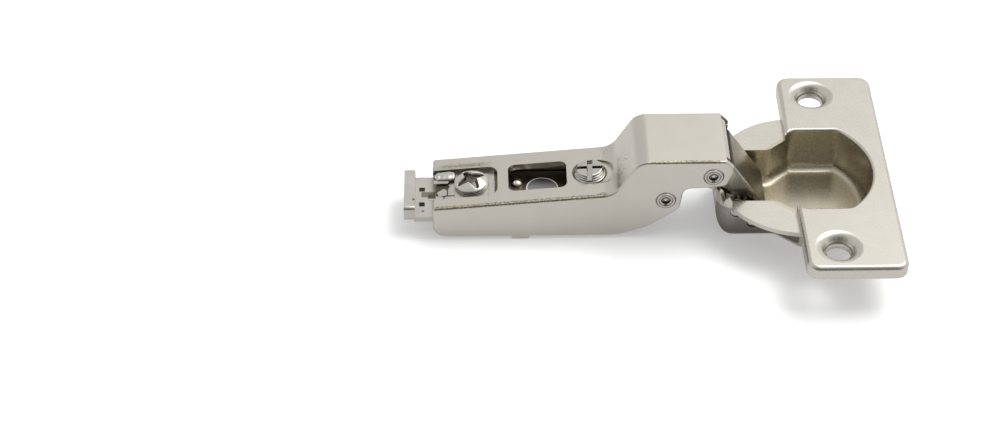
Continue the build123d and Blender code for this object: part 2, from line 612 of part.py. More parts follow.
def make_stud():
    low = BASE_TOP - BASE_SHEET
    stud = Pos(STUD_X, STUD_Y, low) * extrude(Circle(STUD_R), BASE_SHEET + STUD_RISE - 0.5)
    return stud + Pos(STUD_X, STUD_Y, BASE_TOP + STUD_RISE - 0.5) * dome(STUD_R, 0.5)


def make_leaf():
    """Leaf spring riveted under the base; its tip bears down behind the catch pin."""
    top = BASE_TOP - BASE_SHEET
    front = RIVET_X + LEAF_HALF + 0.4
    bend = CATCH_FRONT_X - 0.6
    tip = CATCH_NECK_TOP - CATCH_JOGGLE + LEAF_TIP_GAP
    strip = rounded([
        (front, top), (bend, top), (LEAF_TIP_X, tip + LEAF),
        (LEAF_TIP_X, tip), (bend, top - LEAF), (front, top - LEAF),
    ])
    leaf = across(strip, -LEAF_HALF, LEAF_HALF)
    return leaf - Pos(RIVET_X, 0, top) * extrude(Circle(RIVET_SHANK_R + PRESS_FIT), 3, both=True)


# --------------------------------------------------------------------- catch
def make_catch():
    """Rear catch: T bar, neck, and a joggled tongue with ears and two hooks."""
    bar_end = CATCH_REAR_X + CATCH_BAR
    bar_box = Box(CATCH_BAR, 2 * BASE_HALF, CATCH_BAR_HEIGHT)
    bar_box = fillet(bar_box.edges().filter_by(Axis.X), 0.8)
    catch = Pos(CATCH_REAR_X + CATCH_BAR / 2, 0, CATCH_BAR_TOP - CATCH_BAR_HEIGHT / 2) * bar_box
    tongue_top = CATCH_NECK_TOP - CATCH_JOGGLE
    neck = rounded([
        (bar_end - 0.3, CATCH_NECK_TOP), (CATCH_NECK_END, CATCH_NECK_TOP),
        (CATCH_NECK_END, CATCH_NECK_TOP - CATCH_SHEET), (bar_end - 0.3, CATCH_NECK_TOP - CATCH_SHEET),
    ])
    catch += across(neck, -BASE_HALF, BASE_HALF)
    tongue = rounded([
        (CATCH_NECK_END - 1.2, CATCH_NECK_TOP), (CATCH_NECK_END - 0.2, CATCH_NECK_TOP),
        (CATCH_NECK_END + 0.6, tongue_top), (CATCH_FRONT_X, tongue_top),
        (CATCH_FRONT_X, tongue_top - CATCH_SHEET), (CATCH_NECK_END - 1.2, tongue_top - CATCH_SHEET),
    ])
    tongue_half = BASE_INNER - SIDE_GAP
    catch += across(tongue, -tongue_half, tongue_half)
    ear = Pos(*CATCH_PIVOT) * Circle(CATCH_EAR_R)
    ear += Pos(CATCH_PIVOT[0], CATCH_PIVOT[1] + 0.6) * Rectangle(2 * CATCH_EAR_R, 1.2)
    hook = rounded([
        (CATCH_HOOK_X - 1.6, tongue_top - 0.2), (CATCH_HOOK_X + 0.6, tongue_top - 0.2),
        (CATCH_HOOK_X + 0.6, CATCH_HOOK_BOTTOM + 1.0, 0.2), (CATCH_HOOK_X + 1.4, CATCH_HOOK_BOTTOM + 0.5, 0.2),
        (CATCH_HOOK_X + 0.4, CATCH_HOOK_BOTTOM, 0.3), (CATCH_HOOK_X - 1.6, CATCH_HOOK_BOTTOM, 0.4),
    ])
    under = across(ear, tongue_half - CATCH_SHEET, tongue_half) + across(
        hook, tongue_half - CATCH_SHEET, tongue_half
    )
    catch += both_sides(under)
    shank = SlotCenterToCenter(2.6, 2 * (FIXING_SHANK_R + 0.4))
    catch -= Pos(FIXING_X, 0, tongue_top) * extrude(shank, 3, both=True)
    catch -= Pos(CATCH_NECK_END - 1.2, 0, CATCH_NECK_TOP) * Box(3.4, 1.6, 6)
    for side in (-1, 1):
        catch -= Pos(bar_end + 1.5, side * 2.4, CATCH_NECK_TOP) * Box(1.0, 1.1, 6)
    return catch - rod(CATCH_PIVOT, CATCH_PIN_R + TURN_FIT, -CUT, CUT)


def make_catch_pin():
    return rod(CATCH_PIVOT, CATCH_PIN_R, -BASE_HALF, BASE_HALF)


# -------------------------------------------------------------------- export
# The row frame stands on the lowest point, midway along and across.
FRAME = Pos(-(CATCH_REAR_X + FLANGE_RIGHT) / 2, 0, CUP_DEPTH)

near_spring = make_spring()
parts = {
    "cup": make_cup(),
    "arm": make_arm(),
    "outer_link": make_outer_link(),
    "inner_link": make_inner_link(),
    "nose_pin": make_arm_pin(NOSE_PIVOT),
    "heel_pin": make_arm_pin(HEEL_PIVOT),
    "deep_cup_pin": make_cup_pin(DEEP_PIVOT, DEEP_PIN_SUNK),
    "shallow_cup_pin": make_cup_pin(SHALLOW_PIVOT, SHALLOW_PIN_SUNK),
    "closing_spring_far": near_spring,
    "closing_spring_near": mirror(near_spring, Plane.XZ),
    "overlay_screw": make_overlay_screw(),
    "fixing_screw": make_fixing_screw(),
    "clamp_plate": make_clamp_plate(),
    "base": make_base(),
    "base_rivet": make_base_rivet(),
    "locating_stud": make_stud(),
    "leaf_spring": make_leaf(),
    "catch": make_catch(),
    "catch_pin": make_catch_pin(),
}

os.makedirs("parts", exist_ok=True)
for name, shape in parts.items():
    export_step(FRAME * shape, f"parts/{name}.step")
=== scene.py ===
import json
import math

import bmesh
import bpy
import numpy as np
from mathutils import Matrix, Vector

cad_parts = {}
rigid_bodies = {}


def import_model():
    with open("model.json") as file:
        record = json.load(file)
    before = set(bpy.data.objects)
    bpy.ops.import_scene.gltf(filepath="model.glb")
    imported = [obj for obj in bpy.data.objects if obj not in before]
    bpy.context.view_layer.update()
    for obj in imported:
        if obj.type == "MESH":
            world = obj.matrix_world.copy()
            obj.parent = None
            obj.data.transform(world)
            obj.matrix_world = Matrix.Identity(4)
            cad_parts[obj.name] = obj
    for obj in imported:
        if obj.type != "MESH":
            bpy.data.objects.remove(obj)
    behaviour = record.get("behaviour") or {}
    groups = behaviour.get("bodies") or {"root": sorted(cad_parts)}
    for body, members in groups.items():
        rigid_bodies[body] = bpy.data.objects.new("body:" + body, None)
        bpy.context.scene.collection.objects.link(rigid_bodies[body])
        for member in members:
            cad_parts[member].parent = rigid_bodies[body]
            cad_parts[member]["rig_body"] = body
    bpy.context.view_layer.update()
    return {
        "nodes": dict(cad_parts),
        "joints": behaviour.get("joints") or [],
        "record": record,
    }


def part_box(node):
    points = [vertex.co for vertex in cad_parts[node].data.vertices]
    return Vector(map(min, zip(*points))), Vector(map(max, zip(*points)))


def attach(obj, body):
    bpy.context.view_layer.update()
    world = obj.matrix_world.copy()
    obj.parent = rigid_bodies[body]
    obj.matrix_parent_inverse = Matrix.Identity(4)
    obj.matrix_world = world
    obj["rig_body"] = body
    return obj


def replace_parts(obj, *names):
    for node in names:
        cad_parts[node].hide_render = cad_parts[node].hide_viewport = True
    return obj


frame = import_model()
nodes = frame["nodes"]
JOINTS = {joint["name"]: joint for joint in frame["joints"]}
MOUNTS = {mount["name"]: mount for mount in frame["record"]["mounts"]}
MM = 1000.0  # the frame is in metres, and the sizes of the pieces below are in millimetres
FLAT_ANGLE = math.radians(1.0)
SHARP_ANGLE = math.radians(30)
SPLIT_ANGLE = math.radians(40)


# ---------------------------------------------------------------- folded arm
# One strip of nickel-plated steel, blanked and folded into a channel: top,
# two cheeks, crank and nose. The plating is satin, and the press tools have
# left rough, gilt marks along the folds of the top.
SCREW_UP = np.array(JOINTS["overlay_turn"]["axis"])  # square to the sloping rear top
RISE = -SCREW_UP[0] / SCREW_UP[2]  # of the rear top, for each mm along X
REAR_TOP = 12.392  # its height at X = 0
REAR_EDGE = -43.8
SLOT_FRONT = -30.7
SLOT_HALF = 4.1
SLOT_FRONT_STRIP = -31.4
SLOT_HOLE_HALF = 2.45
SHELF_DROP = 1.2
SHEET_DROP = 1.6
WIDEN_NEAR = 1.25
WIDEN_FAR = 1.06
NOSE_ROLL = (15.9, 20.3)  # X and Z that the rolled edge of the nose lies past

# Each band below is (low, high, softness). A mark has one along X and one across Y.
NEAR_FOLD = ((-44.0, -8.8, 0.3), (-8.1, -7.2, 0.1))
NEAR_FOLD_END = ((-10.3, -8.6, 0.3), (-8.4, -6.9, 0.2))
FAR_FOLD = ((-43.0, -33.0, 1.2), (4.6, 5.6, 0.4))
NOSE_FOLD = ((0.0, 14.2, 0.3), (-8.1, -7.4, 0.1))
NOSE_BRUISE = (7.8, 13.6, 0.6)
FOLD_FRAY = 0.9
SLOT_WALL = (-1.06, -0.14, 0.03)  # height over the rear top
SLOT_END = (-31.6, -30.8, 0.08)
SLOT_REACH = 5.3
SCUFFS = [((-9.0, -6.2, 0.8), (5.0, 7.2, 0.6)), ((-6.2, -4.0, 0.6), (-5.0, 1.2, 0.8))]
GILT_DARK, GILT_PALE, GILT_BRUISED = (0.16, 0.145, 0.085), (0.55, 0.51, 0.36), (0.10, 0.09, 0.07)
SLOT_SHADE, RUBBED, DIMPLE_DARK = (0.15, 0.13, 0.10), (0.16, 0.14, 0.11), (0.09, 0.08, 0.06)

# The dimple is a round-ended slot about the overlay screw.
SCREW_X = JOINTS["overlay_turn"]["pos_m"][0] * MM
DIMPLE_MIDDLE = SCREW_X + 1.3
DIMPLE_REACH = 1.3
DIMPLE_R = 3.65
DIMPLE_RIM = (DIMPLE_R - 0.16, DIMPLE_R + 0.08, 0.06)
DIMPLE_RUN = (-17.0, -4.0, 0.1)
DIMPLE_HALF = 4.5
SCREW_HEAD_R = 3.4

# Noises of the plating, in turns per metre: cloudy tone, drawn grain and wandering gloss.
CLOUD, GRAIN, GLOSS = 160.0, 5200.0, 420.0
GRAIN_STRETCH = (0.25, 1.0, 1.0)
GRAIN_STRENGTH, GRAIN_DEPTH = 0.02, 0.000004


def link(tree, source, target):
    tree.links.new(source, target)


def finish_tree(name, colour, roughness, metallic=1.0):
    """New material with its shader's plain values set on the shader's own sockets."""
    material = bpy.data.materials.new(name)
    material.use_nodes = True
    tree = material.node_tree
    shader = tree.nodes["Principled BSDF"]
    shader.inputs["Base Color"].default_value = (*colour, 1.0)
    shader.inputs["Roughness"].default_value = roughness
    shader.inputs["Metallic"].default_value = metallic
    return material, tree, shader


def noise(tree, where, scale, detail=3.0, stretch=(1.0, 1.0, 1.0)):
    """Noise on the object's own coordinates; scale is in turns per metre."""
    mapping = tree.nodes.new("ShaderNodeMapping")
    mapping.inputs["Scale"].default_value = stretch
    link(tree, where, mapping.inputs["Vector"])
    cloud = tree.nodes.new("ShaderNodeTexNoise")
    cloud.inputs["Scale"].default_value = scale
    cloud.inputs["Detail"].default_value = detail
    link(tree, mapping.outputs["Vector"], cloud.inputs["Vector"])
    return cloud.outputs["Fac"]


def spread(tree, value, low, high, to_low, to_high):
    """Maps low..high of a value to to_low..to_high, held at both ends."""
    node = tree.nodes.new("ShaderNodeMapRange")
    for socket, number in (
        ("From Min", low), ("From Max", high), ("To Min", to_low), ("To Max", to_high),
    ):
        node.inputs[socket].default_value = number
    link(tree, value, node.inputs["Value"])
    return node.outputs["Result"]


def mix_colour(tree, amount, first, second):
    """Mixes two colours, given as numbers or as sockets, by a socket or a number."""
    node = tree.nodes.new("ShaderNodeMix")
    node.data_type = "RGBA"
    for socket, value in ((node.inputs[0], amount), (node.inputs[6], first), (node.inputs[7], second)):
        if isinstance(value, (int, float)):
            socket.default_value = value
        elif isinstance(value, tuple):
            socket.default_value = (*value, 1.0)
        else:
            link(tree, value, socket)
    return node.outputs[2]


def maths(tree, operation, first, second=0.0):
    """One step of arithmetic on two sockets or numbers."""
    node = tree.nodes.new("ShaderNodeMath")
    node.operation = operation
    for socket, value in ((node.inputs[0], first), (node.inputs[1], second)):
        if isinstance(value, (int, float)):
            socket.default_value = value
        else:
            link(tree, value, socket)
    return node.outputs[0]


def product(tree, first, *others):
    for other in others:
        first = maths(tree, "MULTIPLY", first, other)
    return first


def largest(tree, first, *others):
    for other in others:
        first = maths(tree, "MAXIMUM", first, other)
    return first


def distance(tree, across, along):
    """Square root of the sum of two squares."""
    square = maths(tree, "ADD", product(tree, across, across), product(tree, along, along))
    return maths(tree, "POWER", square, 0.5)


def within(tree, value, limit):
    """One where a value lies less than limit from nought, on either side."""
    return maths(tree, "LESS_THAN", maths(tree, "ABSOLUTE", value), limit)


def between(tree, value, low, high, soft):
    """One inside low..high of a value, nought outside, with soft ends."""
    rise = spread(tree, value, low - soft, low + soft, 0.0, 1.0)
    fall = spread(tree, value, high - soft, high + soft, 1.0, 0.0)
    return product(tree, rise, fall)


def marked(tree, x, y, run, band):
    """One inside a mark that has a run along X and a band across Y."""
    return product(tree, between(tree, x, *run), between(tree, y, *band))


def object_place(tree):
    return tree.nodes.new("ShaderNodeTexCoord").outputs["Object"]


def axes_mm(tree):
    """X, Y and Z of the object's own coordinates, in millimetres."""
    scaled = tree.nodes.new("ShaderNodeVectorMath")
    scaled.operation = "SCALE"
    scaled.inputs["Scale"].default_value = MM
    link(tree, object_place(tree), scaled.inputs[0])
    axes = tree.nodes.new("ShaderNodeSeparateXYZ")
    link(tree, scaled.outputs[0], axes.inputs[0])
    return axes.outputs


def bump(tree, shader, height, strength, depth):
    """Bump from a height of nought to one that stands for depth, in metres."""
    node = tree.nodes.new("ShaderNodeBump")
    node.inputs["Strength"].default_value = strength
    node.inputs["Distance"].default_value = depth
    link(tree, height, node.inputs["Height"])
    link(tree, node.outputs["Normal"], shader.inputs["Normal"])


def satin_nickel(name, pale=(0.69, 0.655, 0.585), dark=(0.672, 0.637, 0.565), roughness=0.3):
    """Satin plating: cloudy tone, faint grain, roughness that wanders a little."""
    material, tree, shader = finish_tree(name, pale, roughness)
    place = object_place(tree)
    cloud = noise(tree, place, CLOUD, 4.0)
    grain = noise(tree, place, GRAIN, 2.0, GRAIN_STRETCH)
    tone = spread(tree, cloud, 0.35, 0.65, 0.0, 1.0)
    link(tree, mix_colour(tree, tone, dark, pale), shader.inputs["Base Color"])
    wander = spread(tree, noise(tree, place, GLOSS), 0.3, 0.7, roughness - 0.015, roughness + 0.02)
    link(tree, wander, shader.inputs["Roughness"])
    bump(tree, shader, grain, GRAIN_STRENGTH, GRAIN_DEPTH)
    return material


def repaint(material, paint):
    """Passes a material's colour through paint(tree, colour), which returns the new one."""
    tree = material.node_tree
    base = tree.nodes["Principled BSDF"].inputs["Base Color"]
    link(tree, paint(tree, base.links[0].from_socket), base)


def above_rear_top(tree, x, z):
    """Height over the sloping rear top, in mm: z less (RISE times x plus REAR_TOP)."""
    top = maths(tree, "ADD", product(tree, x, RISE), REAR_TOP)
    return maths(tree, "SUBTRACT", z, top)


def gilt_folds(tree, plain):
    """Rough gilt tool marks along the folds of the rear top and of the nose."""
    x, y, z = axes_mm(tree)
    place = object_place(tree)
    fray = product(tree, maths(tree, "SUBTRACT", noise(tree, place, 1500.0), 0.5), FOLD_FRAY)
    frayed = maths(tree, "ADD", y, fray)
    on_rear = spread(tree, above_rear_top(tree, x, z), -0.5, -0.3, 0.0, 1.0)
    on_nose = spread(tree, z, 20.0, 20.2, 0.0, 1.0)
    rear = largest(tree, *(
        marked(tree, x, frayed, *mark) for mark in (NEAR_FOLD, NEAR_FOLD_END, FAR_FOLD)
    ))
    nose = product(tree, marked(tree, x, frayed, *NOSE_FOLD), on_nose)
    gilt = largest(tree, product(tree, rear, on_rear), nose)
    speckle = spread(tree, noise(tree, place, 3600.0), 0.44, 0.54, 0.0, 1.0)
    bruise = product(tree, nose, between(tree, x, *NOSE_BRUISE), 0.6)
    gold = mix_colour(tree, bruise, mix_colour(tree, speckle, GILT_DARK, GILT_PALE), GILT_BRUISED)
    return mix_colour(tree, product(tree, gilt, 0.85), plain, gold)


def slot_shadow(tree, plain):
    """Painted shade on the walls of the rear slot and on its front end."""
    x, y, z = axes_mm(tree)
    above = above_rear_top(tree, x, z)
    wall = product(tree, between(tree, above, *SLOT_WALL), 0.75)
    low = spread(tree, above, SLOT_WALL[1] - 0.06, SLOT_WALL[1], 1.0, 0.0)
    end = product(tree, low, between(tree, x, *SLOT_END))
    behind = maths(tree, "LESS_THAN", x, SLOT_FRONT + 0.1)
    slot_shaded = product(tree, largest(tree, wall, end), within(tree, y, SLOT_REACH), behind)
    return mix_colour(tree, slot_shaded, plain, SLOT_SHADE)


def scuffed(tree, plain):
    """Dark specks where the crank's foot has been rubbed."""
    x, y, _ = axes_mm(tree)
    zone = largest(tree, *(marked(tree, x, y, *scuff) for scuff in SCUFFS))
    speck = spread(tree, noise(tree, object_place(tree), 2300.0, 2.0), 0.60, 0.66, 0.0, 0.75)
    return mix_colour(tree, product(tree, zone, speck), plain, RUBBED)


def dimple_shadow(tree, plain):
    """Dark rim of the screw's dimple, and the dark gap between the dimple and the screw."""
    x, y, z = axes_mm(tree)
    above = above_rear_top(tree, x, z)
    off_middle = maths(tree, "ABSOLUTE", maths(tree, "SUBTRACT", x, DIMPLE_MIDDLE))
    past = largest(tree, maths(tree, "SUBTRACT", off_middle, DIMPLE_REACH), 0.0)
    rim = between(tree, distance(tree, past, y), *DIMPLE_RIM)
    near_side = spread(tree, y, 0.5, 3.0, 1.0, 0.0)
    rim = product(tree, rim, near_side, spread(tree, above, 0.2, 0.5, 0.6, 0.0))
    off_screw = distance(tree, maths(tree, "SUBTRACT", x, SCREW_X), y)
    gap = spread(tree, off_screw, SCREW_HEAD_R, DIMPLE_R, 1.0, 0.35)
    sunk = spread(tree, above, -0.35, -0.1, 1.0, 0.0)
    gap = product(tree, gap, sunk, maths(tree, "LESS_THAN", off_screw, DIMPLE_R))
    by_dimple = product(tree, between(tree, x, *DIMPLE_RUN), within(tree, y, DIMPLE_HALF))
    return mix_colour(tree, product(tree, largest(tree, rim, gap), by_dimple), plain, DIMPLE_DARK)


def everywhere(place):
    """Passes every edge."""
    return True


def worked(name, material, rounds, reshape=None):
    """Copy of a node with its triangles joined into plates and its edges rounded.

    rounds is a list of (width, steps, test), in mm: each sharp edge whose two ends pass
    the test gets a rounded band that wide. Every edge is used once, by the first test
    that it passes. reshape(x, y, z), in mm, moves each corner before that."""
    mesh = bpy.data.meshes.new(name + "_worked")
    part = bmesh.new()
    part.from_mesh(nodes[name].data)
    bmesh.ops.remove_doubles(part, verts=part.verts, dist=2e-6)
    bmesh.ops.dissolve_limit(part, angle_limit=FLAT_ANGLE, verts=part.verts, edges=part.edges)
    if reshape:
        for vertex in part.verts:
            vertex.co = Vector(reshape(*(vertex.co * MM))) / MM
    for width, steps, test in rounds:
        crisp = [
            edge for edge in part.edges
            if len(edge.link_faces) == 2 and edge.calc_face_angle(0.0) > SHARP_ANGLE
            and all(test(vertex.co * MM) for vertex in edge.verts)
        ]
        bmesh.ops.bevel(
            part, geom=crisp, offset=width / MM, offset_type="OFFSET", segments=steps, profile=0.5,
            affect="EDGES", clamp_overlap=test is everywhere, harden_normals=False,
        )
    part.to_mesh(mesh)
    part.free()
    for face in mesh.polygons:
        face.use_smooth = True
    mesh.materials.append(material)
    piece = bpy.data.objects.new(name + "_worked", mesh)
    bpy.context.scene.collection.objects.link(piece)
    split = piece.modifiers.new("edges", "EDGE_SPLIT")
    split.split_angle = SPLIT_ANGLE
    normals = piece.modifiers.new("normals", "WEIGHTED_NORMAL")
    normals.keep_sharp = True
    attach(piece, nodes[name]["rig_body"])
    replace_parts(piece, name)
    return piece


def wide_slot(x, y, z):
    """Opens the rear slot to its real width, 9.1 mm, as far down as its sunken shelf."""
    drop = REAR_TOP + RISE * x - z
    floor = SHELF_DROP if x > REAR_EDGE else SHEET_DROP
    on_slot = x < SLOT_FRONT and abs(y) < SLOT_HALF and -0.1 < drop < floor
    if on_slot and (abs(y) > SLOT_HOLE_HALF or x > SLOT_FRONT_STRIP):
        y *= WIDEN_NEAR if y < 0 else WIDEN_FAR
    return x, y, z


def nose_end(place):
    """On the upper edge of the nose, where the top is rolled down."""
    return place.x > NOSE_ROLL[0] and place.z > NOSE_ROLL[1]


arm_finish = satin_nickel("arm_plating")
for paint in (gilt_folds, slot_shadow, scuffed, dimple_shadow):
    repaint(arm_finish, paint)
worked("arm", arm_finish, [(0.9, 5, nose_end), (0.26, 3, everywhere)], wide_slot)

# ------------------------------------------------------------------ the cup
# Deep-drawn in one piece with its flange. Inside, the drawn wall is smoother
# and looks browner, because it mirrors itself.
HOLE_X = MOUNTS["door_screws"]["pos_m"][0] * MM
HOLE_Y = MOUNTS["door_screws"]["dims"]["spacing_y_mm"] / 2
HOLE_STEPS = [(2.58, 2.72, 0.05), (3.02, 3.14, 0.06)]  # bands of radius, lower and upper
HOLE_SUNK = (9.8, 11.4, 0.1)
HOLE_STEP_SHADE = (0.16, 0.145, 0.11)
UNDER_FLANGE_TOP = 11.7
SKIRT_SHADE, SOLE_SHADE = (0.36, 0.335, 0.30), (0.17, 0.155, 0.14)
INSIDE_REFLECTION_BROWN = (0.62, 0.57, 0.45)
MOUTH_X = (25.5, 31.2)  # the pocket's mouth widens between these
MOUTH_HALF = (8.3, 13.1)


def shaded_skirt(tree, plain):
    """Painted shade on the outer wall below the flange, deeper towards the sole."""
    z = axes_mm(tree)[2]
    skirt = spread(tree, z, 8.4, 8.9, 1.0, 0.0)
    sole = spread(tree, z, 1.5, 7.5, 1.0, 0.0)
    return mix_colour(tree, skirt, plain, mix_colour(tree, sole, SKIRT_SHADE, SOLE_SHADE))


def hole_steps(tree, plain):
    """Two rings of painted shade down the steps of each screw hole."""
    x, y, z = axes_mm(tree)
    aside = maths(tree, "SUBTRACT", maths(tree, "ABSOLUTE", y), HOLE_Y)
    reach = distance(tree, maths(tree, "SUBTRACT", x, HOLE_X), aside)
    lower, upper = (between(tree, reach, *step) for step in HOLE_STEPS)
    steps = largest(tree, lower, product(tree, upper, 0.6))
    amount = product(tree, steps, between(tree, z, *HOLE_SUNK), 0.6)
    return mix_colour(tree, amount, plain, HOLE_STEP_SHADE)


def mirrored_brown_inside(tree, plain):
    """Painted brown reflection of the drawn pocket in itself, which fades out just under the flange's top.
    """
    x, y, z = axes_mm(tree)
    deep = spread(tree, z, 10.1, 11.4, 1.0, 0.0)
    mouth = spread(tree, x, *MOUTH_X, *MOUTH_HALF)
    inside = maths(tree, "LESS_THAN", maths(tree, "ABSOLUTE", y), mouth)
    ahead = spread(tree, x, 16.5, 18.5, 0.0, 1.0)
    return mix_colour(tree, product(tree, deep, inside, ahead), plain, INSIDE_REFLECTION_BROWN)


def by_hole(place):
    """Near one of the flange's two screw holes."""
    return 18.0 < abs(place.y) < 29.0 and 32.0 < place.x < 42.0


def pocket_lip(place):
    """On the flange's top, round the mouth of the pocket."""
    return place.z > UNDER_FLANGE_TOP and abs(place.y) < 15.0 and place.x < 49.0


def sink_lip(place):
    """On the flange's top, round a screw hole."""
    return place.z > UNDER_FLANGE_TOP and by_hole(place)


def sink_foot(place):
    """Where the sunk ring of a screw hole meets the hole itself."""
    return 9.8 < place.z < 10.4 and by_hole(place)


cup_finish = satin_nickel("cup_plating", roughness=0.27)
for paint in (shaded_skirt, hole_steps, mirrored_brown_inside):
    repaint(cup_finish, paint)
worked("cup", cup_finish, [
    (0.6, 5, pocket_lip), (0.9, 6, sink_lip), (0.3, 3, sink_foot), (0.2, 2, everywhere),
])

# -------------------------------------------------------------- the two links
# Pressed channels of thinner sheet, plated like the arm.
WEB_TOP = np.array((17.0, 17.95))  # X and Z of the outer link's web at its two ends
WEB_END = np.array((24.9, 6.15))


def web_fold(place):
    """On the outer link's two folds, where its web turns into the cheeks."""
    run = WEB_END - WEB_TOP
    off = np.array((place.x, place.z)) - WEB_TOP
    aside = abs(run[0] * off[1] - run[1] * off[0]) / np.hypot(*run)
    return aside < 0.1 and abs(place.y) > 6.0


def nose_shade(tree, plain):
    """Darkens a link towards its top, which ends in the dark gap under the nose."""
    z = axes_mm(tree)[2]
    shaded = mix_colour(tree, spread(tree, z, 12.5, 16.5, 0.0, 1.0), plain, (0.42, 0.39, 0.34))
    return mix_colour(tree, spread(tree, z, 17.2, 17.4, 0.0, 0.92), shaded, (0.04, 0.035, 0.03))


link_finish = satin_nickel("link_plating", (0.60, 0.565, 0.50), (0.585, 0.55, 0.485), 0.26)
repaint(link_finish, nose_shade)
worked("outer_link", link_finish, [(0.8, 5, web_fold), (0.2, 2, everywhere)])
worked("inner_link", link_finish, [(0.2, 3, everywhere)])

# ------------------------------------------------------------------- rivets
# Turned steel pins, nickelled bright. The two in the arm have hollow ends,
# rolled over in rings by the riveting tool.
RIVET_HEAD = [  # radius, and height over the head's face
    (0.0, -0.30), (0.32, -0.33), (0.48, -0.46), (0.62, -0.80), (0.84, -0.66), (0.93, -0.14), (1.04, -0.02),
    (1.20, 0.0), (1.33, -0.20), (1.45, -0.22), (1.58, -0.04), (1.80, 0.0), (1.90, -0.18), (2.00, -0.22),
    (2.08, -0.12), (2.18, -0.28),
]
RIVET_SHANK = (1.49, -0.34)
RIVET_SHADE = np.array([  # radius, and share of painted shade, most in the head's grooves
    (0.0, 0.0), (0.40, 0.1), (0.60, 0.5), (0.86, 0.4), (1.0, 0.1), (1.22, 0.0), (1.32, 0.35), (1.46, 0.35),
    (1.58, 0.0), (1.84, 0.0), (1.92, 0.7), (2.0, 0.7), (2.08, 0.2), (2.2, 0.2),
]).T
RIVET_NOTCH = 0.28  # half width of the notch of painted shade at the ring's foot, in radians
BASE_RIVET_HIGHLIGHT_RIM = (3.15, 3.4, 0.06)


def surface(name, points, material, node, shade):
    """Closed mesh from a grid of points, one row per ring, from one pole to the other.

    The first and last rows shrink to single points and each ring closes on itself.
    shade is how much shade is painted at each point of the grid."""
    rows, around = points.shape[:2]
    body = points[1:-1].reshape(-1, 3)
    vertices = np.concatenate([points[:1, 0], body, points[-1:, 0]])
    ring = np.arange(around)
    following = (ring + 1) % around
    fan = np.stack([np.zeros(around, int), 1 + ring, 1 + following], 1)
    row = (np.arange(rows - 3) * around)[:, None]
    quads = np.stack([
        1 + row + ring, 1 + row + around + ring, 1 + row + around + following, 1 + row + following,
    ], 2).reshape(-1, 4)
    last = 1 + (rows - 3) * around
    foot = np.full(around, len(vertices) - 1)
    close = np.stack([foot, last + following, last + ring], 1)
    mesh = bpy.data.meshes.new(name)
    mesh.from_pydata(vertices.tolist(), [], fan.tolist() + quads.tolist() + close.tolist())
    mesh.materials.append(material)
    painted_shade = mesh.attributes.new("painted_shade", "FLOAT", "POINT")
    painted_shade.data.foreach_set("value", np.concatenate([shade[:1, 0], shade[1:-1].reshape(-1), shade[-1:, 0]]))
    for face in mesh.polygons:
        face.use_smooth = True
    piece = bpy.data.objects.new(name, mesh)
    bpy.context.scene.collection.objects.link(piece)
    split = piece.modifiers.new("edges", "EDGE_SPLIT")
    split.split_angle = math.radians(50)
    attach(piece, nodes[node]["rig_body"])
    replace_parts(piece, node)
    return piece


def mesh_shaded(material, tone):
    """Paints shade into a finish, as much as the mesh gives at each point."""
    painted_shade = material.node_tree.nodes.new("ShaderNodeAttribute")
    painted_shade.attribute_name = "painted_shade"
    repaint(material, lambda tree, plain: mix_colour(tree, painted_shade.outputs["Fac"], plain, tone))


def lathe(corners, per_mm, steps):
    """Radius and height of a turned grid: runs between (radius, height) corners, by angle.

    Each run is stepped evenly, per_mm steps to the mm, and steps is how many go round."""
    corners = np.array(corners, float)
    runs = np.linalg.norm(np.diff(corners, axis=0), axis=1)
    counts = np.maximum(1, np.round(runs * per_mm)).astype(int)
    pieces = [
        corners[i] + (corners[i + 1] - corners[i]) * np.linspace(0, 1, count, endpoint=False)[:, None]
        for i, count in enumerate(counts)
    ]
    radius, height = np.concatenate(pieces + [corners[-1:]]).T
    around = np.ones((1, steps))
    return radius[:, None] * around, height[:, None] * around


def turned(radius, height, centre, axis, along):
    """Points of a lathe-turned shape, from radius and height in mm by profile and angle.

    Each point is centre, in metres, plus radius times (cosine, sine) across the axis
    plus height on the axis. The angle starts on along."""
    up = np.array(axis) / np.linalg.norm(axis)
    right = np.array(along) / np.linalg.norm(along)
    ahead = np.cross(up, right)
    angle = np.linspace(0.0, 2.0 * np.pi, radius.shape[1], endpoint=False)
    across = np.cos(angle)[:, None] * right + np.sin(angle)[:, None] * ahead
    return np.array(centre) + (radius[:, :, None] * across + height[:, :, None] * up) / MM


def arm_rivet(name):
    """Pin across the arm with the same rolled, hollow head at both ends."""
    low, high = (np.array(corner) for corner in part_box(name))
    centre = (low + high) / 2
    half = (high - low)[1] / 2 * MM
    corners = [(r, half + z) for r, z in RIVET_HEAD + [RIVET_SHANK]]
    corners += [(r, -z) for r, z in reversed(corners)]
    r, z = lathe(corners, 24, 96)
    points = turned(r, z, centre, (0, 1, 0), (1, 0, 0))
    spot = points - centre
    # Painted shade in the head's grooves, and on a notch at the foot where it faces down.
    bearing = np.abs(np.arctan2(spot[:, :, 0], -spot[:, :, 2]))
    notch = (bearing < RIVET_NOTCH) & (r > 0.5) & (r < 1.35)
    shade = np.where(notch, 0.9, np.interp(r, *RIVET_SHADE))
    surface(name + "_turned", points, head_finish, name, shade)


head_finish = satin_nickel("rivet_head_plating", (0.69, 0.66, 0.61), (0.64, 0.61, 0.56), 0.24)
mesh_shaded(head_finish, (0.11, 0.095, 0.08))
for name in ("nose_pin", "heel_pin"):
    arm_rivet(name)
rivet_finish = satin_nickel("rivet_plating", (0.66, 0.635, 0.58), (0.60, 0.575, 0.52), 0.2)
for name in ("deep_cup_pin", "shallow_cup_pin", "locating_stud", "catch_pin"):
    worked(name, rivet_finish, [(0.08, 2, everywhere)])
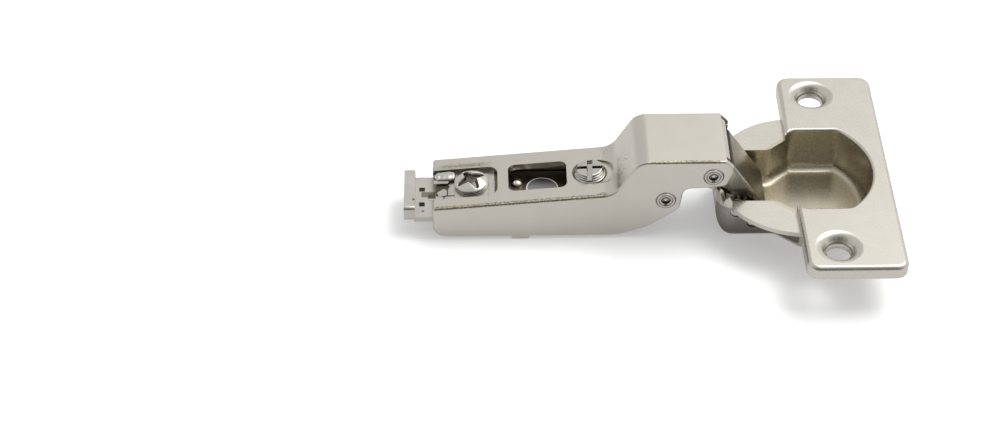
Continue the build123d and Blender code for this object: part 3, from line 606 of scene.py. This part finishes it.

# The base's rivet is a disc painted dark for the shade inside the arm, with a thin
# rim of painted highlight that is matt, so that it takes the light from above.
plate_finish = satin_nickel("base_rivet_shade_and_highlight", (0.36, 0.35, 0.35), (0.30, 0.29, 0.29), 0.3)
low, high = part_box("base_rivet")
tree = plate_finish.node_tree
x, y, _ = axes_mm(tree)
off = maths(tree, "SUBTRACT", x, (low[0] + high[0]) / 2 * MM)
rim = between(tree, distance(tree, off, y), *BASE_RIVET_HIGHLIGHT_RIM)
repaint(plate_finish, lambda tree, plain: mix_colour(tree, rim, plain, (0.85, 0.83, 0.80)))
link(tree, maths(tree, "SUBTRACT", 1.0, rim), tree.nodes["Principled BSDF"].inputs["Metallic"])
worked("base_rivet", plate_finish, [(0.08, 2, everywhere)])

# ------------------------------------------------------------------- screws
# Cross-slotted machine screws, nickelled bright. The turns of their threads
# show as rings under the heads, and both stand square to the arm's top.
SCREW_AHEAD = np.array((SCREW_UP[2], 0.0, -SCREW_UP[0]))
SCREW_STEPS = 240
OVERLAY_SCREW = [  # head, threaded side, shank and the collar held by the base
    (0.0, 1.27), (2.52, 1.27), (2.66, 1.20), (2.72, 1.10), (3.2, -0.42), (2.62, -0.42), (2.62, -2.5),
    (1.55, -2.5), (1.55, -7.6), (2.56, -7.6), (2.56, -8.36), (0.0, -8.36),
]
OVERLAY_THREAD = (-0.40, 1.12, 0.5, 0.30)  # low, high, pitch, depth
THREAD_SHADE = 3.4  # painted shade in the thread, for each mm of depth
OVERLAY_CROSS_TURN = -4.0
CROWN_R, CROWN_FOOT, CROWN_HEIGHT = 3.42, 0.10, 1.15
FIXING_SIDE = [  # rim, two ledges and the plain shank
    (3.5, 0.02), (3.5, -0.22), (3.24, -0.32), (3.24, -0.44), (3.42, -0.52), (3.42, -0.76), (3.1, -0.84),
    (1.95, -0.84), (1.95, -5.6), (0.0, -5.6),
]
FIXING_CROSS_TURN = 27.0


def smoothed(x, low, high):
    """Nought below low, one above high, and a smooth S between."""
    t = np.clip((x - low) / (high - low), 0.0, 1.0)
    return t * t * (3.0 - 2.0 * t)


def head_place(radius, turn):
    """X and Y on a screw head whose cross stands turn degrees round."""
    angle = np.linspace(0.0, 2.0 * np.pi, radius.shape[1], endpoint=False) - math.radians(turn)
    return radius * np.cos(angle), radius * np.sin(angle)


def slotted(radius, height, half_width, reach, depth, turn, taper=0.0, wall=0.05, cross=None):
    """Sinks a cross into the top of a turned head.

    Two grooves cross at the centre; each is half_width wide, or cross for the second,
    narrows by taper per mm outwards, ends at reach, and falls by depth over a wall
    that is nearly upright."""
    x, y = head_place(radius, turn)
    sunk = np.zeros_like(height)
    for along, aside, half in ((x, y, half_width), (y, x, cross or half_width)):
        room = half - taper * np.abs(along)
        groove = 1.0 - smoothed(np.abs(aside), room - wall, room + wall)
        groove *= 1.0 - smoothed(np.abs(along), reach - wall, reach + wall)
        sunk = np.maximum(sunk, groove)
    return height - depth * sunk


def cross_shade(radius, turn, half_width):
    """Painted shade, dark along one arm of a cross slot and paler along the other."""
    x, y = head_place(radius, turn)
    return np.where((np.abs(y) < half_width) & (np.abs(x) > 0.5), 0.95, 0.12)


def threaded(radius, height, low, high, pitch, size):
    """Winds a thread of V rings into the part of a profile between two heights."""
    angle = np.linspace(0.0, 1.0, radius.shape[1], endpoint=False)
    phase = (height / pitch + angle) % 1.0
    tooth = 1.0 - np.abs(2.0 * phase - 1.0)
    return radius - np.where((height > low) & (height < high) & (radius > 1.0), size * tooth, 0.0)


def overlay_screw():
    """Side screw, with painted shade in its thread and in one arm of its cross."""
    plain_r, plain_z = lathe(OVERLAY_SCREW, 22, SCREW_STEPS)
    r = threaded(plain_r, plain_z, *OVERLAY_THREAD)
    cut = slotted(r, plain_z, 0.36, reach=2.85, depth=1.25, turn=OVERLAY_CROSS_TURN, cross=0.52)
    z = np.where(plain_z > -0.1, cut, plain_z)
    in_thread = np.clip(THREAD_SHADE * (plain_r - r), 0.0, 1.0) * (plain_z == z)
    in_cross = np.where(plain_z - z > 0.2, cross_shade(r, OVERLAY_CROSS_TURN, 0.55), 0.0)
    points = turned(r, z, JOINTS["overlay_turn"]["pos_m"], SCREW_UP, SCREW_AHEAD)
    surface("overlay_screw_turned", points, screw_finish, "overlay_screw", np.maximum(in_thread, in_cross))


def fixing_screw():
    """Depth screw: a domed crown, a star recess, and painted shade in it and under the rim."""
    crown = [
        (q, CROWN_FOOT + CROWN_HEIGHT * (1.0 - (q / CROWN_R) ** 2)) for q in np.linspace(0.0, CROWN_R, 14)
    ]
    r, plain_z = lathe(crown + FIXING_SIDE, 26, SCREW_STEPS)
    cut = slotted(r, plain_z, 1.05, reach=2.85, depth=1.05, turn=FIXING_CROSS_TURN, taper=0.27, wall=0.3)
    z = np.where(plain_z > 0.25, cut, plain_z)
    groove = ((plain_z > -0.52) & (plain_z < -0.22) | (plain_z < -0.74)) & (r > 2.5)
    shade = np.clip(1.9 * (plain_z - z) + 0.95 * groove, 0.0, 0.93)
    points = turned(r, z, JOINTS["fixing_turn"]["pos_m"], SCREW_UP, SCREW_AHEAD)
    surface("fixing_screw_turned", points, screw_finish, "fixing_screw", shade)


screw_finish = satin_nickel("screw_plating", (0.72, 0.70, 0.65), (0.64, 0.62, 0.57), 0.16)
mesh_shaded(screw_finish, (0.16, 0.14, 0.12))
overlay_screw()
fixing_screw()

# ------------------------------------------------------ base channel and catch
# Thinner plated sheet, seen through the window and at the rear end, painted dark for
# the shade inside the arm. The catch is stamped with small pits, painted as dark spots of shade.
PIT_SHADE = (0.10, 0.09, 0.07)
DENT_SHADE = (0.14, 0.12, 0.10)
CATCH_PITS = [  # low x, high x, low y, high y, and the colour of its painted shade
    (-46.9, -44.0, -0.1, 1.6, (0.27, 0.24, 0.19)),
    (-47.4, -46.2, 1.75, 3.0, PIT_SHADE),
    (-47.4, -46.2, -2.85, -1.6, PIT_SHADE),
    (-48.7, -48.2, -3.75, -3.2, DENT_SHADE),
    (-46.8, -46.3, -4.6, -4.15, DENT_SHADE),
]
PIT_SOFTNESS = 0.06


def paint_pit_shade(tree, colour):
    # Painted shade in each stamped pit and dent of the catch.
    x, y, _ = axes_mm(tree)
    for left, right, near, far, tone in CATCH_PITS:
        pit = marked(tree, x, y, (left, right, PIT_SOFTNESS), (near, far, PIT_SOFTNESS))
        colour = mix_colour(tree, pit, colour, tone)
    return colour


shaded_base_finish = satin_nickel("base_plating_in_shade", (0.24, 0.21, 0.17), (0.18, 0.155, 0.125), 0.32)
worked("base", shaded_base_finish, [(0.15, 3, everywhere)])
catch_finish = satin_nickel("catch_plating", (0.64, 0.62, 0.57), (0.56, 0.54, 0.49), 0.32)
repaint(catch_finish, paint_pit_shade)
worked("catch", catch_finish, [(0.3, 3, everywhere)])

# -------------------------------------------------------------- clamp plate
# Pressed plate under the fixing screw's head. Its far edge is rolled over, and
# its rear end is stamped in small steps.
SEAT = np.array(JOINTS["fixing_turn"]["pos_m"])
PLATE_REAR, PLATE_FRONT, PLATE_NEAR, PLATE_FAR = -7.5, 3.6, -4.6, 3.4
PLATE_CORNER = (1.6, 1.0)  # of each rounded front corner, along and across
STEP_FOOT = -0.85
STEPS = {  # outline, lower face and upper face
    "clamp_step_mid": (
        [(-6.7, -3.45), (-5.15, -3.3), (-5.05, -1.7), (-5.8, -1.1), (-7.2, -2.2)], STEP_FOOT, -0.55),
    "clamp_step_top": (
        [(-4.9, -3.3), (-3.45, -3.4), (-3.45, -1.0), (-4.5, -0.5), (-4.9, -1.5)], STEP_FOOT, -0.58),
    "clamp_step_rear": ([(-7.45, -4.6), (-5.95, -4.6), (-5.8, -3.7), (-7.45, -3.3)], STEP_FOOT, -0.50),
    "clamp_step_near": ([(-5.75, -4.6), (-2.4, -4.6), (-3.2, -3.6), (-5.6, -3.55)], STEP_FOOT, -0.62),
    "clamp_lip": ([(-7.9, 0.45), (-5.1, 0.25), (-4.7, 0.65), (-4.7, 1.3), (-7.9, 1.5)], -0.55, -0.36),
}
SHADOW_BED = [(-7.45, -4.5), (-3.65, -4.5), (-3.65, -1.0), (-5.0, 0.2), (-7.45, 0.2)]
SLOT_FLOOR = [(3.45, -2.4), (4.85, -2.4), (4.85, 2.4), (3.45, 2.4)]
CHAMFER = 0.05
CURL_ENDS = (-7.75, -3.2)
CURL_MIDDLE = (2.35, -0.38)  # across the arm and square to it
CURL_HALF = (1.35, 0.60)
CURL_LUMPS = [(0.04, 2.3, 0.6), (0.02, 5.1, 0.0)]  # share of the size, radians per mm, start


def on_seat(points):
    """Points in mm on the arm's top, along it, across it and square to it, to metres."""
    along, across, above = np.moveaxis(np.asarray(points, float) / MM, -1, 0)[..., None]
    return SEAT + along * SCREW_AHEAD + across * np.array((0.0, 1.0, 0.0)) + above * SCREW_UP


def slab(name, outline, low, high, node="clamp_plate", finish=None):
    """Flat plate with chamfered edges; outline runs anticlockwise seen from above, in mm."""
    outline = np.array(outline, float)
    middle = outline.mean(0)
    shrink = 1.0 - CHAMFER / np.linalg.norm(outline - middle, axis=1)
    inner = middle + (outline - middle) * shrink[:, None]
    rings = [(inner, low), (outline, low + CHAMFER), (outline, high - CHAMFER), (inner, high)]
    points = np.concatenate([
        np.column_stack([ring, np.full(len(ring), level)]) for ring, level in rings
    ])
    count = len(outline)
    faces = [list(range(count))[::-1], [3 * count + k for k in range(count)]]
    for start in (0, count, 2 * count):
        for k in range(count):
            step = (k + 1) % count
            faces.append([start + k, start + step, start + count + step, start + count + k])
    mesh = bpy.data.meshes.new(name)
    mesh.from_pydata(on_seat(points).tolist(), [], faces)
    mesh.materials.append(finish or clamp_finish)
    piece = bpy.data.objects.new(name, mesh)
    bpy.context.scene.collection.objects.link(piece)
    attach(piece, nodes[node]["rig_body"])
    return piece


def plate_outline():
    """Square at the rear, with both front corners rounded."""
    turn = np.linspace(0.0, math.pi / 2, 7)
    long, wide = PLATE_CORNER
    corner = [(PLATE_FRONT - long + long * math.sin(a), wide * math.cos(a)) for a in turn]
    near = [(x, PLATE_NEAR + wide - y) for x, y in corner]
    far = [(x, PLATE_FAR - wide + y) for x, y in corner[::-1]]
    return [(PLATE_REAR, PLATE_NEAR)] + near + far + [(PLATE_REAR, PLATE_FAR)]


def clamp_curl():
    """Rolled far edge: an uneven oval tube with round ends, with painted shade where it faces down."""
    run = np.linspace(*CURL_ENDS, 40)
    rear_end = np.sqrt(np.clip((run - run[0]) / 0.9, 0.0, 1.0))
    front_end = np.sqrt(np.clip((run[-1] - run) / 0.5, 0.0, 1.0))
    lump = 1.0 + sum(share * np.sin(run * rate + start) for share, rate, start in CURL_LUMPS)
    size = (np.minimum(rear_end, front_end) * lump)[:, None]
    angle = np.linspace(0.0, 2.0 * np.pi, 32, endpoint=False)
    curl = np.stack([
        run[:, None] + 0.0 * angle,
        CURL_MIDDLE[0] - 0.02 * run[:, None] - CURL_HALF[0] * size * np.cos(angle),
        CURL_MIDDLE[1] + CURL_HALF[1] * size * np.sin(angle),
    ], 2)
    shade = np.clip(0.9 * np.cos(angle) - 1.0 * np.sin(angle) - 0.25, 0.0, 1.0)
    surface("clamp_curl", on_seat(curl), curl_finish, "clamp_plate", shade * np.ones((len(run), 1)))


clamp_finish = satin_nickel("clamp_plating", (0.68, 0.65, 0.60), (0.60, 0.57, 0.52), 0.27)
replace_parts(slab("clamp_plate_flat", plate_outline(), -1.07, -0.87), "clamp_plate")
# Dark sheet of painted shade under the stamped steps, which shows in the gaps between them.
shadow_bed_finish = satin_nickel("clamp_shadow_bed", (0.13, 0.115, 0.09), (0.10, 0.09, 0.07), 0.4)
slab("clamp_shadow_bed", SHADOW_BED, -0.88, -0.82, finish=shadow_bed_finish)
for name, (outline, low, high) in STEPS.items():
    slab(name, outline, low, high)
slab("arm_slot_floor", SLOT_FLOOR, -1.4, -1.11, "arm")
curl_finish = satin_nickel("curl_plating", (0.74, 0.715, 0.67), (0.66, 0.635, 0.59), 0.24)
mesh_shaded(curl_finish, (0.12, 0.10, 0.08))
clamp_curl()

# ------------------------------------------------------------------ springs
# Oiled spring wire and strip, dark beside the plating.
spring_finish = satin_nickel("spring_wire", (0.30, 0.27, 0.22), (0.16, 0.14, 0.11), 0.3)
for name in ("closing_spring_far", "closing_spring_near", "leaf_spring"):
    worked(name, spring_finish, [])

# -------------------------------------------------------------------- stage
# A white table under a large soft overhead light, in a white room. The metal
# mirrors a darker table than the one that the viewer sees.
TABLE = 1.2
PAPER = (0.74, 0.74, 0.74)
PAPER_MIRRORED = (0.36, 0.36, 0.37)
WHITE = (1.0, 1.0, 1.0, 1.0)
GLOW_SEEN = 0.33
GLOW_MIRRORED = 0.32
SIDE_LIGHT = (-0.06, 0.20, 0.66, 0.84)  # between two ways along X, from and to a strength
FRONT_LIGHT = (-0.80, -0.10, 0.22, 1.0)  # the same along Y
WINDOW_WAY = (0.33, 0.30, 0.90)
WINDOW_EDGE = (0.87, 0.97)
WINDOW_STRENGTH = 1.6
LAMP_AT = (0.45, 0.22, 0.85)
LAMP_SIZE = (0.7, 0.5)
LAMP_WATTS = 6.5
CAMERA_AT = (-0.03596, -0.34566, 0.31127)
CAMERA_DOWN, CAMERA_TURN = 48.035, -0.919
LENS, SENSOR = 79.33, 36.0


def paper_table():
    """Flat sheet of paper under everything."""
    corners = [(-TABLE, -TABLE, 0), (TABLE, -TABLE, 0), (TABLE, TABLE, 0), (-TABLE, TABLE, 0)]
    mesh = bpy.data.meshes.new("table")
    mesh.from_pydata(corners, [], [(0, 1, 2, 3)])
    table = bpy.data.objects.new("table", mesh)
    bpy.context.scene.collection.objects.link(table)
    paper, tree, shader = finish_tree("white_paper", PAPER, 0.9, 0.0)
    shader.inputs["Specular IOR Level"].default_value = 0.0
    path = tree.nodes.new("ShaderNodeLightPath")
    mirrored = path.outputs["Is Glossy Ray"]
    link(tree, mix_colour(tree, mirrored, PAPER, PAPER_MIRRORED), shader.inputs["Base Color"])
    seen = product(tree, path.outputs["Is Camera Ray"], GLOW_SEEN)
    glow = maths(tree, "ADD", seen, product(tree, mirrored, GLOW_MIRRORED))
    shader.inputs["Emission Color"].default_value = WHITE
    link(tree, glow, shader.inputs["Emission Strength"])
    mesh.materials.append(paper)


def white_room():
    """Room that is dimmer to the left and behind the viewer, with one bright window."""
    world = bpy.data.worlds.new("room")
    bpy.context.scene.world = world
    world.use_nodes = True
    tree = world.node_tree
    room = tree.nodes["Background"]
    way = tree.nodes.new("ShaderNodeTexCoord").outputs["Generated"]
    axes = tree.nodes.new("ShaderNodeSeparateXYZ")
    link(tree, way, axes.inputs[0])
    side = spread(tree, axes.outputs["X"], *SIDE_LIGHT)
    front = spread(tree, axes.outputs["Y"], *FRONT_LIGHT)
    facing = tree.nodes.new("ShaderNodeVectorMath")
    facing.operation = "DOT_PRODUCT"
    link(tree, way, facing.inputs[0])
    facing.inputs[1].default_value = Vector(WINDOW_WAY).normalized()
    window = spread(tree, facing.outputs["Value"], *WINDOW_EDGE, 0.0, WINDOW_STRENGTH)
    link(tree, maths(tree, "ADD", product(tree, side, front), window), room.inputs["Strength"])
    room.inputs["Color"].default_value = WHITE


def overhead_lamp():
    """Soft rectangle of light that casts the shadows and isn't mirrored in the metal."""
    lamp = bpy.data.lights.new("overhead", "AREA")
    lamp.shape = "RECTANGLE"
    lamp.size, lamp.size_y = LAMP_SIZE
    lamp.energy = LAMP_WATTS
    overhead = bpy.data.objects.new("overhead", lamp)
    bpy.context.scene.collection.objects.link(overhead)
    overhead.visible_glossy = False
    overhead.location = LAMP_AT
    down = Vector((0, 0, 0)) - overhead.location
    overhead.rotation_euler = down.to_track_quat("-Z", "Y").to_euler()


def place_camera():
    """Long lens, in front of the hinge and above it."""
    camera = bpy.data.cameras.new("camera")
    camera.sensor_width = SENSOR
    camera.lens = LENS
    camera.clip_start = 0.01
    viewer = bpy.data.objects.new("viewer", camera)
    bpy.context.scene.collection.objects.link(viewer)
    viewer.location = CAMERA_AT
    viewer.rotation_euler = (math.radians(CAMERA_DOWN), 0.0, math.radians(CAMERA_TURN))
    bpy.context.scene.camera = viewer


paper_table()
white_room()
overhead_lamp()
place_camera()
bpy.context.scene.view_settings.view_transform = "Standard"
